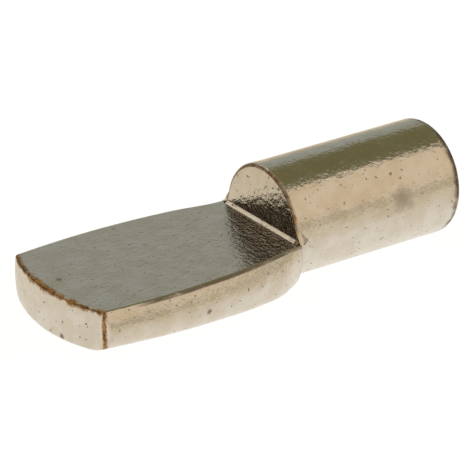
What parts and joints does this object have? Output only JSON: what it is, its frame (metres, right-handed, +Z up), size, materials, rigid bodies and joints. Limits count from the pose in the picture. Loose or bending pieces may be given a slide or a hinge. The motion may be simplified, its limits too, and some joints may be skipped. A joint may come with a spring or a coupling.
{
  "type": "shelf support pin",
  "caption": "spade-shaped shelf support pin: a round plug for a cabinet hole, pressed at its other end into a flat blade that carries the shelf",
  "frame": {"origin": "on the pin's axis, where its plain round part begins, 1 mm out from the step that the seat ends at", "axes": "+X runs along the pin's axis out of the blade and into the cabinet side; +Z is up, square to the flat seat; +Y completes the right-handed frame across the blade"},
  "size_m": [0.0245, 0.0094, 0.0064],
  "materials": {
    "nickel_plated_steel": "satin nickel plating over cold-forged steel, finely pitted, with brown tarnish along the pressed edges"
  },
  "bodies": {
    "root": {"shelf_support_pin": "nickel_plated_steel"}
  },
  "joints": []
}
